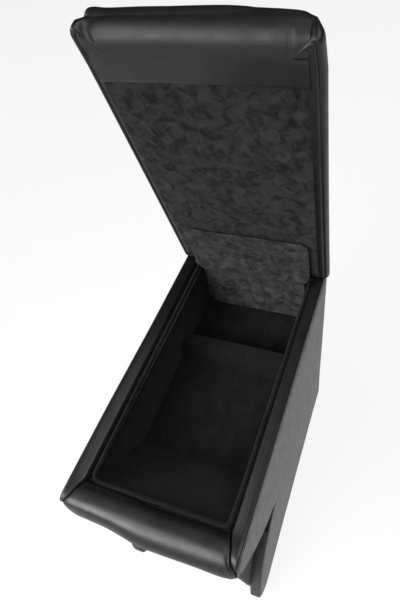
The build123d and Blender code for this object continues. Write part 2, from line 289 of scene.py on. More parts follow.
def insetOutline(points, amounts):
    sharpest = 0.4
    moved = []
    for index, point in enumerate(points):
        before = (point - points[index - 1]).normalized()
        after = (points[(index + 1) % len(points)] - point).normalized()
        inward = Vector((before.y + after.y, -before.x - after.x)).normalized()
        reach = max(sharpest, inward.dot(Vector((before.y, -before.x))))
        moved.append(point + inward * (amounts[index] / reach))
    return moved


# Stations from end to end as (x, shrink); ends are given as (distance from the end, shrink)
def stationsAcross(setup):
    half = setup["half"]
    count = setup["stations"]
    ends = [(half - inward, shrink) for inward, shrink in setup["ends"]]
    places = [half * (2 * step / count - 1) for step in range(1, count)]
    return [(-x, shrink) for x, shrink in ends] + [(x, 0) for x in places] + ends[::-1]


def tubeRing(centre, side, up, radius, sides):
    ring = []
    for turn in range(sides):
        angle = 2 * math.pi * turn / sides
        ring.append(boxPoint(*(centre + radius * (side * math.cos(angle) + up * math.sin(angle)))))
    return ring


# Helpers for modelling

def clearSelection():
    bpy.ops.object.select_all(action="DESELECT")


def loft(name, rings):
    clearSelection()
    bpy.ops.mesh.primitive_circle_add(vertices=len(rings[0]), radius=1.0, fill_type="NGON")
    piece = bpy.context.object
    piece.name = name
    bpy.ops.object.mode_set(mode="EDIT")
    mesh = bmesh.from_edit_mesh(piece.data)
    place = mesh.verts.layers.int.new("place")
    for index, vertex in enumerate(mesh.verts):
        vertex[place] = index
        vertex.co = rings[0][index]
    bmesh.update_edit_mesh(piece.data)
    for ring in rings[1:]:
        bpy.ops.mesh.extrude_region_move()
        mesh = bmesh.from_edit_mesh(piece.data)
        place = mesh.verts.layers.int["place"]
        for vertex in mesh.verts:
            if vertex.select:
                vertex.co = ring[vertex[place]]
        bmesh.update_edit_mesh(piece.data)
    bpy.ops.mesh.select_all(action="SELECT")
    bpy.ops.mesh.normals_make_consistent(inside=False)
    bpy.ops.object.mode_set(mode="OBJECT")
    piece.data.attributes.remove(piece.data.attributes["place"])
    return piece


def addGrid(name, columns, rows):
    clearSelection()
    bpy.ops.mesh.primitive_grid_add(x_subdivisions=columns, y_subdivisions=rows, size=1.0)
    piece = bpy.context.object
    piece.name = name
    return piece


def applyModifier(piece, kind, **values):
    bpy.context.view_layer.objects.active = piece
    modifier = piece.modifiers.new(kind.lower(), kind)
    for key, value in values.items():
        setattr(modifier, key, value)
    bpy.ops.object.modifier_apply(modifier=modifier.name)


def softenShading(piece, degrees):
    clearSelection()
    piece.select_set(True)
    bpy.context.view_layer.objects.active = piece
    bpy.ops.object.shade_smooth_by_angle(angle=math.radians(degrees))


def cutAcross(piece, places, normal):
    clearSelection()
    bpy.context.view_layer.objects.active = piece
    bpy.ops.object.mode_set(mode="EDIT")
    for place in places:
        bpy.ops.mesh.select_all(action="SELECT")
        bpy.ops.mesh.bisect(plane_co=place, plane_no=normal)
    bpy.ops.object.mode_set(mode="OBJECT")


def puff(piece, setup, isHeld):
    applyModifier(piece, "REMESH", mode="VOXEL", voxel_size=setup["voxel"] * mm, use_smooth_shade=True)
    points = piece.data.vertices
    start = [point.co.copy() for point in points]
    held = piece.vertex_groups.new(name="held")
    held.add([point.index for point in points if isHeld(point.co / mm)], 1.0, "REPLACE")
    cloth = piece.modifiers.new("stuffing", "CLOTH")
    cloth.settings.use_pressure = True
    cloth.settings.uniform_pressure_force = setup["pressure"]
    cloth.settings.vertex_group_mass = "held"
    cloth.settings.effector_weights.gravity = 0
    for number in range(1, setup["frames"] + 1):
        scene.frame_set(number)
    bpy.context.view_layer.objects.active = piece
    bpy.ops.object.modifier_apply(modifier=cloth.name)
    scene.frame_set(1)
    points = piece.data.vertices
    most = max((point.co - rest).length for point, rest in zip(points, start))
    share = min(1.0, setup["cap"] * mm / most)
    for point, rest in zip(points, start):
        point.co = rest.lerp(point.co, share)
    piece.vertex_groups.clear()
    print(piece.name, "swelled by", round(most / mm, 1), "mm, kept", round(most * share / mm, 1))
    applyModifier(piece, "SUBSURF", levels=1, render_levels=1)


def shapePoints(piece, move):
    for point in piece.data.vertices:
        point.co = move(point.co / mm, point.normal) * mm


# Pieces of the lid are modelled closed and opened here
def finishPiece(piece, degrees, material, slotName, body, *stoodFor):
    if degrees:
        softenShading(piece, degrees)
    if body == "lid":
        piece.data.transform(lidPlace)
    piece.data.materials.clear()
    piece.data.materials.append(material)
    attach(piece, body)
    if stoodFor:
        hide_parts(*stoodFor)


# Side outline of the box, as (depth, height) points drawn clockwise from the lower rear corner

sideForm = {
    "length": 293.0, "noseRounding": 15.0, "noseTip": 213.0, "notch": (208.0, 129.0),
    "toe": (274.0, 31.2), "finBulge": 15.0, "foot": 247.0, "pitch": 9.0, "overSteps": 10,
    "bellySteps": 14, "finSteps": 14, "footSteps": 7,
}
crest = Vector((sideForm["length"] - sideForm["noseRounding"], rimTop))
noseTip = Vector((sideForm["length"], sideForm["noseTip"]))
notch = Vector(sideForm["notch"])
forward = Vector((1, 0))
noseDrop = rimTop - sideForm["noseTip"]
noseRadius = (sideForm["noseRounding"] ** 2 + noseDrop ** 2) / (2 * noseDrop)


def noseCurve():
    over, heading = alongArc(crest, noseTip, forward, sideForm["overSteps"])
    belly = alongArc(noseTip, notch, heading, sideForm["bellySteps"])[0]
    return over, belly


def finCurve(form):
    toe = Vector(form["toe"])
    chord = toe - notch
    lean = 2 * math.atan2(2 * form["finBulge"], chord.length)
    start = Matrix.Rotation(lean, 2) @ chord.normalized()
    edge, heading = alongArc(notch, toe, start, form["finSteps"])
    return edge + alongArc(toe, Vector((form["foot"], 0)), heading, form["footSteps"])[0]


# How far the nose stands back from that outline at each place across the front

noseLean = {
    "left": 3.7, "leftRun": 36.0, "leftSlope": 0.055, "leftBend": 31.0, "rightSlope": 0.02,
    "corner": {"right": 2.0, "left": 2.4},
    "cornerStart": 60.0, "cornerRun": 15.0, "proud": 1.5, "depths": (225.0, 45.0), "fade": 12.0,
}


def noseSetback(x):
    lean = noseLean
    back = lean["left"] * smoothStep(-x / lean["leftRun"])
    back += lean["leftSlope"] * max(0, -x - lean["leftBend"])
    back += lean["rightSlope"] * max(0, x) - lean["proud"]
    past = max(0, (abs(x) - lean["cornerStart"]) / lean["cornerRun"])
    return back + lean["corner"][sideOf(x)] * past ** 2


def setBack(point, x):
    share = ramp(point.x, noseLean["depths"]) * smoothStep((rimTop - point.y) / noseLean["fade"])
    return Vector((point.x - noseSetback(x) * share, point.y))


# Padded side panels

seamLine = {"rear": 72.7, "front": 74.6, "depths": (80.0, 140.0)}
sidePanel = {
    "rings": [(65.2, 11, 0.4), (71.6, 4.6, 0.3), (72.45, 2.8, 0.3), (72.6, 1.5, 0.3), (72.9, 1.15, 0.3),
              (73.4, 1.4, 0.4), (74.0, 2.4, 0.7), (74.6, 4.4, 1.3), (75.0, 7.2, 2.4), (75.2, 10.5, 4)],
    "noseInset": 4.5, "noseLead": 2, "notchFade": 25.0, "face": 75.25, "cut": 12.0, "ripple": 0.35,
    "ripplePitch": 60.0, "rippleSpan": (74.0, 1.2), "seamInner": 71.0, "seamHeights": (216.0, 6.0),
    "leftWider": 1.3, "widerSpan": (66.0, 6.0), "widerHeights": (90.0, 90.0),
}


def seamPlace(depth):
    return seamLine["rear"] + (seamLine["front"] - seamLine["rear"]) * ramp(depth, seamLine["depths"])


def makeSidePanel(side, setup):
    sign = bothSides[side]
    over, belly = noseCurve()
    rear = alongRun(Vector((0, 0)), Vector((0, rimTop)), sideForm["pitch"])
    top = alongRun(Vector((0, rimTop)), crest, sideForm["pitch"])
    fin = finCurve(sideForm)
    base = alongRun(fin[-1], Vector((0, 0)), sideForm["pitch"])
    outline = rear + top + over + belly + fin + base
    shares = [0] * (len(rear) - 1) + [1] * (1 + len(top) + len(over))
    shares += [ramp(point.x, (notch.x, setup["notchFade"])) for point in belly]
    shares += [0] * (len(fin) + len(base))
    moved = []
    for point, share in zip(outline, shares):
        moved.append(setBack(point, sign * sideFace) if share else point)
    noseStart = len(rear) + len(top)
    noseEnd = noseStart + len(over) + len(belly)
    rings = []
    for x, topInset, edgeInset in setup["rings"]:
        amounts = [edgeInset + (topInset - edgeInset) * share for share in shares]
        for index in range(noseStart - setup["noseLead"], noseEnd):
            amounts[index] = min(amounts[index], setup["noseInset"])
        rings.append([boxPoint(sign * x, *point) for point in insetOutline(moved, amounts)])
    piece = loft("sidePanel_" + side, rings)
    steps = range(1, round(sideForm["length"] / setup["cut"]))
    cutAcross(piece, [boxPoint(0, step * setup["cut"], 0) for step in steps], (0, 1, 0))
    steps = range(1, round(rimTop / setup["cut"]))
    cutAcross(piece, [boxPoint(0, 0, step * setup["cut"]) for step in steps], (0, 0, 1))

    def ripple(place, normal):
        aside = abs(place.x)
        swell = ramp(aside, setup["rippleSpan"]) * setup["ripple"]
        swell *= 0.5 + wobble(place.x, place.y, place.z, setup["ripplePitch"])
        gap = setup["face"] - seamPlace(rearFace - place.y)
        squeeze = 1 - gap / (setup["face"] - seamLine["rear"])
        squeeze *= ramp(place.z, setup["seamHeights"])
        swell += max(0, setup["face"] - max(setup["seamInner"], aside)) * squeeze
        if sign < 0:
            wider = ramp(aside, setup["widerSpan"]) * ramp(place.z, setup["widerHeights"])
            swell += setup["leftWider"] * wider
        return place + Vector((sign * swell, 0, 0))

    shapePoints(piece, ripple)
    finishPiece(piece, 50, leather, "black_leather", "box", "side_cover_" + side, "side_foam_" + side)


for side in bothSides:
    makeSidePanel(side, sidePanel)


# Trim along the edge of the fins

finTrim = {
    "inner": 64.9, "outer": 74.5, "sunk": 0.4, "proud": 0.45, "skip": 2, "bevel": 1.2, "edge": 0.3,
    "edgeShare": 0.4,
}


def makeFinTrim(side, setup):
    path = finCurve(sideForm)[setup["skip"]:]
    inner = setup["inner"]
    outer = setup["outer"]
    rings = []
    for index, point in enumerate(path):
        ahead = headingAt(path, index)
        outward = Vector((-ahead.y, ahead.x))
        low = point - outward * setup["sunk"]
        high = point + outward * setup["proud"]
        edge = point + outward * setup["proud"] * setup["edgeShare"]
        section = [(inner, low), (inner, high), (outer - setup["bevel"], high),
                   (outer - setup["edge"], edge), (outer, low)]
        rings.append([boxPoint(bothSides[side] * x, *spot) for x, spot in section])
    piece = loft("finTrim_" + side, rings)
    finishPiece(piece, 50, board, "carcass_board", "box")


for side in bothSides:
    makeFinTrim(side, finTrim)
print("side panels ready")


# Front bolster with mitred corners

bolster = {
    "lip": (265.5, 233.0), "lipSteps": 8, "seat": (265.9, 224.4), "backTop": (268.8, 224.1),
    "backFoot": (205.2, 164.0), "backPitch": 8.0, "foot": (206.0, 131.0), "half": 75.2,
    "shift": -0.65, "stations": 22,
    "ends": [(0, 1.6), (0.4, 0.6), (1.2, 0.15)],
    "slim": 0.2, "voxel": 3.0, "pressure": 4.0, "frames": 20, "cap": 1.8, "heldEnd": 2.0,
    "heldBack": 4.0,
    "mitre": {
        "right": [(263, 61.4), (271.3, 62.9), (278.2, 65.5), (284.8, 67.2), (288.4, 68.9), (290.4, 72),
                  (291.3, 74.2)],
        "left": [(261, 62.3), (268.2, 65.2), (274.8, 67.1), (281.1, 69.4), (286, 72.6), (287.4, 74.2)],
    },
    "seamDip": 1.0, "seamWidth": 1.5, "seamHeights": (222.0, 8.0), "seamDepths": (256.0, 6.0),
    "tuckDip": 4.5, "tuckRun": 2.0, "unevenness": 0.5, "unevenPitch": 38.0,
    "unevenDepths": (262.0, 10.0),
}


def mitrePlace(x, depth):
    knots = bolster["mitre"][sideOf(x)]
    if depth <= knots[0][0]:
        return knots[0][1]
    for (depthA, xA), (depthB, xB) in zip(knots, knots[1:]):
        if depth <= depthB:
            return xA + (xB - xA) * (depth - depthA) / (depthB - depthA)
    return knots[-1][1]


def makeBolster(setup):
    over, belly = noseCurve()
    inner = alongArc(crest, Vector(setup["lip"]), -forward, setup["lipSteps"])[0]
    foot, backFoot, backTop, seat = [Vector(setup[key]) for key in ("foot", "backFoot", "backTop", "seat")]
    upright = alongRun(foot, backFoot, setup["backPitch"]) + alongRun(backFoot, backTop, setup["backPitch"])
    section = [seat] + inner[::-1] + [crest] + over + belly + [foot] + upright
    rings = []
    for x, shrink in stationsAcross(setup):
        moved = [setBack(point, x) for point in section]
        amounts = [setup["slim"] + shrink] * len(section)
        rings.append([boxPoint(x + setup["shift"], *point) for point in insetOutline(moved, amounts)])
    piece = loft("bolster", rings)
    lean = (backTop.x - backFoot.x) / (backTop.y - backFoot.y)

    def isHeld(place):
        behind = backFoot.x + max(0, place.z - backFoot.y) * lean
        atEnd = abs(place.x - setup["shift"]) > setup["half"] - setup["heldEnd"]
        return atEnd or rearFace - place.y < behind + setup["heldBack"]

    puff(piece, setup, isHeld)

    def sinkSeams(place, normal):
        depth = rearFace - place.y
        sway = setup["unevenness"] * wobble(place.x, place.y, place.z, setup["unevenPitch"])
        place = place + normal * sway * ramp(depth, setup["unevenDepths"])
        gap = mitrePlace(place.x, depth) - abs(place.x)
        dip = setup["seamDip"]
        if gap > 0:
            dip *= bell(gap, setup["seamWidth"])
        else:
            dip += setup["tuckDip"] * smoothStep(-gap / setup["tuckRun"])
        dip *= ramp(place.z, setup["seamHeights"]) * ramp(depth, setup["seamDepths"])
        inward = Vector((0, depth - crest.x, rimTop - noseRadius - place.z)).normalized()
        return place + inward * dip

    shapePoints(piece, sinkSeams)
    finishPiece(piece, 60, leather, "black_leather", "box", "bolster_cover", "bolster_foam")


makeBolster(bolster)
print("bolster ready")


# Crowned rim strips that taper over the front corners

rimStrip = {
    "inner": {"right": 62.9, "left": 63.7},
    "wider": {"right": 0, "left": 1.3},
    "mitreGap": 0.1, "narrowest": 0.5, "start": 0.4, "startDrop": 0.7, "depth": 9.0, "pitch": 5.0,
    "top": [(0, -2.6), (0.012, -1.5), (0.035, -1.0), (0.08, -0.8), (0.35, -1.7), (0.5, -2.3), (0.65, -2.9),
            (0.78, -3.45), (0.88, -4.0), (0.94, -4.8), (1, -6.2)],
    "nose": [(0, -2.6), (0.02, -1.6), (0.06, -1.0), (0.15, -0.7), (0.35, -0.65), (0.5, -0.8), (0.62, -1.0),
             (0.74, -1.25), (0.86, -1.6), (0.94, -2.1), (1, -2.8)],
    "noseDepths": (263.0, 14.0), "thinRise": -2.5, "thinShare": 0.5, "fullWidth": 12.0,
    "tuckWidth": 6.0, "lip": 1.4, "footInset": 0.8, "sway": 0.25, "swayPitch": 30.0,
    "swayApart": 20, "swayAbove": -3.0,
}


def rimPath(setup):
    over, belly = noseCurve()
    start = Vector((setup["start"], rimTop))
    run = [start] + alongRun(start, crest, setup["pitch"])
    path = [(point, Vector((0, 1))) for point in run]
    centre = Vector((crest.x, rimTop - noseRadius))
    return path + [(point, (point - centre).normalized()) for point in over]


def rimSection(setup, inner, outer, over):
    width = outer - inner
    thin = setup["thinRise"]
    full = min(1, setup["thinShare"] + width / setup["fullWidth"])
    section = []
    for (share, high), (_, low) in zip(setup["top"], setup["nose"]):
        rise = high + (low - high) * over
        section.append((outer - width * share, thin + (rise - thin) * full))
    tuck = min(1.0, width / setup["tuckWidth"]) * (1 - over)
    section.append((inner - tuck, section[-1][1] - setup["lip"]))
    section.append((inner - tuck, -setup["depth"]))
    section.append((outer - min(setup["footInset"], width / 4), -setup["depth"]))
    return section


def makeRimStrip(side, setup):
    sign = bothSides[side]
    rings = []
    for index, (point, upward) in enumerate(rimPath(setup)):
        place = setBack(point, sign * sideFace)
        inner = max(setup["inner"][side], mitrePlace(sign, place.x) + setup["mitreGap"])
        outer = seamPlace(place.x) + setup["wider"][side]
        if inner > outer - setup["narrowest"]:
            break
        section = rimSection(setup, inner, outer, ramp(place.x, setup["noseDepths"]))
        if index == 0:
            section = [(x, rise - setup["startDrop"]) for x, rise in section]
        ring = []
        for x, rise in section:
            sway = setup["sway"] * wobble(x, place.x, setup["swayApart"] * sign, setup["swayPitch"])
            spot = place + upward * (rise + sway * (rise > setup["swayAbove"]))
            ring.append(boxPoint(sign * x, *spot))
        rings.append(ring)
    piece = loft("rimStrip_" + side, rings)
    finishPiece(piece, 60, leather, "black_leather", "box", "rim_strip_" + side)


for side in bothSides:
    makeRimStrip(side, rimStrip)
print("rim strips ready")


# Welts along the mitred front corners

welt = {
    "radius": 0.85,
    "lift": {"right": -0.25, "left": 0.35},
    "start": 262.5,
    "end": {"right": 290.8, "left": 286.8},
    "steps": 20, "sides": 8, "taperShare": 0.3, "taperSteps": 4,
}
# Share of its radius that a curve is followed to, short of where it turns upright
arcShare = 0.98


def bolsterTop(depth):
    setback = crest.x - bolster["lip"][0]
    drop = rimTop - bolster["lip"][1]
    radius = noseRadius if depth > crest.x else (setback ** 2 + drop ** 2) / (2 * drop)
    return rimTop - radius + math.sqrt(radius ** 2 - min(radius * arcShare, abs(depth - crest.x)) ** 2)


def makeWelt(side, setup):
    sign = bothSides[side]
    run = setup["end"][side] - setup["start"]
    path = []
    for step in range(setup["steps"] + 1):
        depth = setup["start"] + run * step / setup["steps"]
        height = bolsterTop(depth) + setup["lift"][side]
        path.append(Vector((sign * mitrePlace(sign, depth), depth, height)))
    rings = []
    for index, place in enumerate(path):
        ahead = headingAt(path, index)
        across = ahead.cross(Vector((0, 0, 1))).normalized()
        fromEnd = min(index, len(path) - 1 - index)
        taper = min(1, setup["taperShare"] + fromEnd / setup["taperSteps"])
        rings.append(tubeRing(place, across, across.cross(ahead), setup["radius"] * taper, setup["sides"]))
    piece = loft("cornerWelt_" + side, rings)
    finishPiece(piece, 60, leather, "black_leather", "box")


for side in bothSides:
    makeWelt(side, welt)


# Padded rear panel with its own sloping rim

rearPanel = {
    "half": 64.9, "stations": 12,
    "ends": [(0, 1.2), (0.4, 0.5), (1.2, 0.1)],
    "rim": (10.6, 233.0), "rimDrop": 0.3, "seat": 224.2, "back": 2.9, "pitch": 12.0, "corner": 0.8,
}


def makeRearPanel(setup):
    rim = Vector(setup["rim"])
    seat = setup["seat"]
    back = setup["back"]
    corners = [(0, 0), (0, rimTop - setup["rimDrop"]), rim, (rim.x, seat), (back, seat), (back, 0)]
    corners = [Vector(corner) for corner in corners]
    section = []
    for start, end in zip(corners, corners[1:] + corners[:1]):
        step = (end - start).normalized() * min(setup["corner"], (end - start).length / 4)
        section += [start + step] + alongRun(start + step, end - step, setup["pitch"])
    rings = []
    for x, shrink in stationsAcross(setup):
        rings.append([boxPoint(x, *point) for point in insetOutline(section, [shrink] * len(section))])
    piece = loft("rearPanel", rings)
    finishPiece(piece, 50, leather, "black_leather", "box", "rear_cover", "rear_foam")


makeRearPanel(rearPanel)
print("rear panel ready")


# Velour tray, its piping and the divider bar

tray = {
    "wall": 2.0, "wallFoot": 20.0, "wallRises": (36, 26, 14, 6),
    "edgeRoll": [(-1, 1), (-0.2, 0.95), (0, 0.8), (-0.3, 0.6), (-3, 0.3), (-8, 0)],
    "corner": 5.0, "leastCorner": 0.6, "cornerSteps": 6, "floorRounding": 3.0,
    "floorTurns": (0.2, 0.5, 0.9, 1.3), "rearEdge": 223.4, "rearReach": 2.0, "rearRise": 5.0,
    "slopeFoot": 201.0, "slopeRun": 1.0614, "pitch": 1000.0,
}
trayFloor = trayLow.z + tray["wall"]
trayHalf = trayHigh.x - tray["wall"]
trayRear = rearFace - trayHigh.y + tray["wall"]


def trayFront(height, offset):
    rise = height - trayFloor
    return tray["slopeFoot"] + rise * tray["slopeRun"] + offset * math.hypot(1, tray["slopeRun"])


# Path from the rear end of the left side round the front to the rear end of the right side
def trayPath(left, right, rear, front, corner, pitch):
    steps = tray["cornerSteps"]
    path = [Vector((left, rear))]
    path += alongRun(path[-1], Vector((left, front - corner)), pitch)
    path += alongArc(path[-1], Vector((left + corner, front)), Vector((0, 1)), steps)[0]
    path += alongRun(path[-1], Vector((right - corner, front)), pitch)
    path += alongArc(path[-1], Vector((right, front - corner)), Vector((1, 0)), steps)[0]
    return path + alongRun(path[-1], Vector((right, rear)), pitch)


def trayOutline(height, offset):
    half = trayHalf + offset
    corner = max(tray["leastCorner"], tray["corner"] + offset)
    return trayPath(-half, half, trayRear - offset, trayFront(height, offset), corner, tray["pitch"])


def makeTray(setup):
    low = trayLow.z
    wall = setup["wall"]
    rounding = setup["floorRounding"]
    lift = (setup["rearEdge"] - low) / (trayHigh.z - low)
    levels = [(low, wall), (low + setup["wallFoot"], wall)]
    levels += [(trayHigh.z + drop, wall * share) for drop, share in setup["edgeRoll"]]
    levels += [(trayFloor + rise, 0) for rise in setup["wallRises"]]
    for angle in setup["floorTurns"]:
        levels.append((trayFloor + rounding * (1 - math.sin(angle)), -rounding * (1 - math.cos(angle))))
    levels.append((trayFloor, -rounding - 1))
    rings = []
    for height, offset in levels:
        ring = []
        for point in trayOutline(height, offset):
            atRear = point.y < trayRear + wall + rounding + setup["rearReach"]
            raised = atRear and height > trayFloor + setup["rearRise"]
            ring.append(boxPoint(*point, low + (height - low) * lift if raised else height))
        rings.append(ring)
    piece = loft("trayLiner", rings)
    finishPiece(piece, 40, trayVelour, "tray_velour", "box", "liner_tray")


makeTray(tray)

piping = {
    "radius": 1.9, "start": 15.4, "spread": 1.6, "rightSpread": 1.2, "lift": 0.9, "wobble": 0.3,
    "swayPitch": 22.0, "risePitch": 30.0, "sides": 12, "pitch": 7.0,
}


def makePiping(setup):
    half = trayHalf + tray["wall"] / 2 + setup["spread"]
    height = trayHigh.z + setup["radius"] + setup["lift"]
    front = trayFront(trayHigh.z, tray["wall"] / 2)
    corner = tray["corner"] + tray["wall"] / 2 + setup["spread"] / 2
    path = trayPath(-half, half + setup["rightSpread"], setup["start"], front, corner, setup["pitch"])
    rings = []
    for index, point in enumerate(path):
        ahead = headingAt(path, index)
        across = Vector((ahead.y, -ahead.x, 0))
        sway = setup["wobble"] * wobble(point.x, point.y, 0, setup["swayPitch"])
        rise = setup["wobble"] * wobble(point.x, point.y, 50, setup["risePitch"])
        centre = Vector((*point, height + rise)) + across * sway
        rings.append(tubeRing(centre, across, Vector((0, 0, 1)), setup["radius"], setup["sides"]))
    piece = loft("trayPiping", rings)
    finishPiece(piece, 50, trayVelour, "tray_velour", "box", "liner_piping")


makePiping(piping)

dividerBar = {
    "half": 56.3, "stations": 16,
    "ends": [(0, 0.9), (0.5, 0.3)],
    "back": 80.0, "top": 12.0, "foot": 18.0, "lift": 0.2, "height": 24.0, "sag": 0.5,
    "sagPitch": 35.0, "sagRun": 20.0,
}


def makeDivider(setup):
    low = trayFloor + setup["lift"]
    high = trayFloor + setup["height"]
    back = setup["back"]
    front = back + setup["top"]
    section = [(back, low), (back, low + 10), (back, high - 2), (back + 0.5, high - 0.6), (back + 2, high),
               (front - 2.2, high), (front - 0.6, high - 0.5), (front + 0.3, high - 1.8),
               (front + 3, low + 11), (back + setup["foot"], low)]
    section = [Vector(point) for point in section]
    rings = []
    for x, shrink in stationsAcross(setup):
        sag = setup["sag"] * wobble(x, 3, 0, setup["sagPitch"])
        ring = []
        for point in insetOutline(section, [shrink] * len(section)):
            ring.append(boxPoint(x, point.x, point.y + sag * ramp(point.y, (low, setup["sagRun"]))))
        rings.append(ring)
    piece = loft("dividerBar", rings)
    finishPiece(piece, 50, trayVelour, "tray_velour", "box", "divider_bar")


makeDivider(dividerBar)
print("tray ready")


# Lid outline, seen from above with the lid closed, as (x, reach from the hinge) points

lidForm = {
    "half": 77.5, "shift": 1.0, "rear": 1.2, "reach": 268.4, "frontCorner": 8.0, "rightCorner": 8.0,
    "rearCorner": 5.0, "leastFront": 2.0, "leastRear": 1.5, "pullIn": 0.3, "bow": 0.9,
    "ear": {"right": -1.2, "left": 2.6},
    "wide": {"right": -1.6, "left": -1.2},
    "earWidth": 9.0, "earReaches": (246.0, 16.0), "rightDrop": 0.0, "dropSpan": (10.0, 65.0),
    "frontReaches": (230.0, 40.0), "endSpan": (2.0, 7.0), "sideSteps": 14, "frontSteps": 40,
    "cornerSteps": 10,
}


def lidOutline(form, inset):
    right = form["half"] - inset
    left = -right
    rear = form["rear"] + inset
    front = form["reach"] - inset
    frontCorner = max(form["leastFront"], form["frontCorner"] - inset)
    rightCorner = max(form["leastFront"], form["rightCorner"] - inset)
    rearCorner = max(form["leastRear"], form["rearCorner"] - inset)
    ahead = Vector((0, 1))
    across = Vector((1, 0))
    corners = [
        ((left, front - frontCorner), (left + frontCorner, front), ahead, form["sideSteps"]),
        ((right - rightCorner, front), (right, front - rightCorner), across, form["frontSteps"]),
        ((right, rear + rearCorner), (right - rearCorner, rear), -ahead, form["sideSteps"]),
        ((left + rearCorner, rear), (left, rear + rearCorner), -across, form["sideSteps"]),
    ]
    points = [Vector((left, rear + rearCorner))]
    for start, end, heading, steps in corners:
        last = points[-1]
        points += [last.lerp(Vector(start), step / steps) for step in range(1, steps + 1)]
        points += alongArc(Vector(start), Vector(end), heading, form["cornerSteps"])[0]
    points.pop()
    return [shapeLid(form, point) for point in points]


def shapeLid(form, point):
    along = (point.y - form["rear"]) / (form["reach"] - form["rear"])
    pull = form["pullIn"] * math.sin(math.pi * along) * point.x / form["half"]
    ahead = ramp(point.y, form["frontReaches"])
    bow = form["bow"] * (1 - (point.x / form["half"]) ** 2) * ahead
    drop = form["rightDrop"] * ramp(point.x, form["dropSpan"]) * ahead
    near = bell(form["half"] - abs(point.x), form["earWidth"]) * ramp(point.y, form["earReaches"])
    ear = near * form["ear"][sideOf(point.x)]
    wide = near * form["wide"][sideOf(point.x)]
    return Vector((point.x - pull + wide + form["shift"], point.y + bow + ear - drop))


def endShare(x):
    return ramp(lidForm["half"] - abs(x - lidForm["shift"]), lidForm["endSpan"])


def cornerShares(form):
    shares = []
    for point in lidOutline(form, 0):
        corner = form["frontCorner"] if point.x < 0 else form["rightCorner"]
        shares.append(smoothStep((point.y - form["reach"] + corner) / corner))
    return shares


def endShares(form):
    return [endShare(point.x) * (point.y > form["reach"] / 2) for point in lidOutline(form, 0)]


def lidRings(form, shares, setup):
    rings = []
    for (sideInset, sideRise), (frontInset, frontRise) in zip(setup["sides"], setup["fronts"]):
        sideLine = lidOutline(form, sideInset)
        frontLine = lidOutline(form, frontInset)
        ring = []
        for share, beside, front in zip(shares, sideLine, frontLine):
            spot = beside.lerp(front, share)
            rise = sideRise + (frontRise - sideRise) * share
            ring.append(lidPoint(spot.x, spot.y, rise))
        rings.append(ring)
    return rings


# Padded lid and its board

cushionForm = {
    **lidForm,
    "frontCorner": 9.0, "rightCorner": 17.0,
    "ear": {"right": 0.0, "left": 2.0},
    "rightDrop": 3.2,
}
lidCushion = {
    "sides": [(10, 1.6), (5, 1.6), (2.6, 2.2), (1.3, 3.6), (1.0, 5.5), (1.0, 8), (1.4, 12), (3, 16.5),
              (6.2, 20.5), (11, 23.2), (22, 24.6), (40, 25)],
    "fronts": [(28, 1.8), (20, 2.2), (14, 3.0), (9.8, 5.0), (6.8, 7.8), (4.6, 10.6), (2.9, 13.8), (1.5, 16.8),
               (0.7, 20.2), (2.3, 23.6), (7.5, 25.8), (40, 26.4)],
    "voxel": 3.0, "pressure": 4.0, "frames": 20, "cap": 2.0, "heldRise": 13.0,
}


def makeLidCushion(setup):
    piece = loft("lidCushion", lidRings(cushionForm, cornerShares(cushionForm), setup))
    puff(piece, setup, lambda place: place.z < lidUnderside + setup["heldRise"])
    finishPiece(piece, 60, lidLeather, "black_leather", "lid", "lid_cover", "lid_foam")


makeLidCushion(lidCushion)

lidBoard = {
    "sides": [(9.5, 1.6), (8.8, 2.2), (8.8, 6.6), (9.5, 7.2)],
    "fronts": [(27, 1.6), (22, 2.2), (13, 6.6), (14, 7.2)],
}


def makeLidBoard(setup):
    piece = loft("lidBoard", lidRings(cushionForm, cornerShares(cushionForm), setup))
    finishPiece(piece, 0, board, "carcass_board", "lid", "lid_board")


makeLidBoard(lidBoard)


# Leather turned under the lid: a rolled edge all round, and tucks at the front corners

lidEdge = {
    "sides": [(12, 1.5), (9, 1.15), (7.5, 0.9), (5.2, 0.75), (4.5, 0.95), (4.0, 1.5), (3.5, 1.0), (2.7, 0.6),
              (1.7, 0.7), (0.9, 1.3), (0.3, 2.5), (0, 4.4), (0.1, 6.5), (1.2, 8.8), (5, 9.6)],
    "fronts": [(30, 1.3), (25, 0.62), (19.15, 0.64), (16.7, 0.82), (14.5, 1.25), (12.5, 1.87), (10.6, 2.67),
               (8.9, 3.64), (7.35, 4.8), (5.95, 6.1), (4.65, 7.56), (3.5, 9.2), (2.65, 11.2), (2.2, 13.8),
               (2.3, 18.3)],
    "cornerLift": [0.6, 1.6, 2.6, 2.6],
    "cornerTuck": [0, 0, 1.2, 6],
    "cornerSpan": (4.0, 15.0), "cornerReaches": (248.0, 14.0),
}


def makeLidEdge(setup):
    rings = lidRings(lidForm, endShares(lidForm), setup)
    last = rings[-len(setup["cornerLift"]):]
    for lift, tuck, ring in zip(setup["cornerLift"], setup["cornerTuck"], last):
        for point in ring:
            aside = lidForm["half"] - abs(point.x / mm - lidForm["shift"])
            near = (1 - ramp(aside, setup["cornerSpan"])) * ramp(-point.y / mm, setup["cornerReaches"])
            point.z += lift * mm * near
            point.y += tuck * mm * near
    piece = loft("lidEdge", rings)
    finishPiece(piece, 60, lidLeather, "black_leather", "lid")


makeLidEdge(lidEdge)

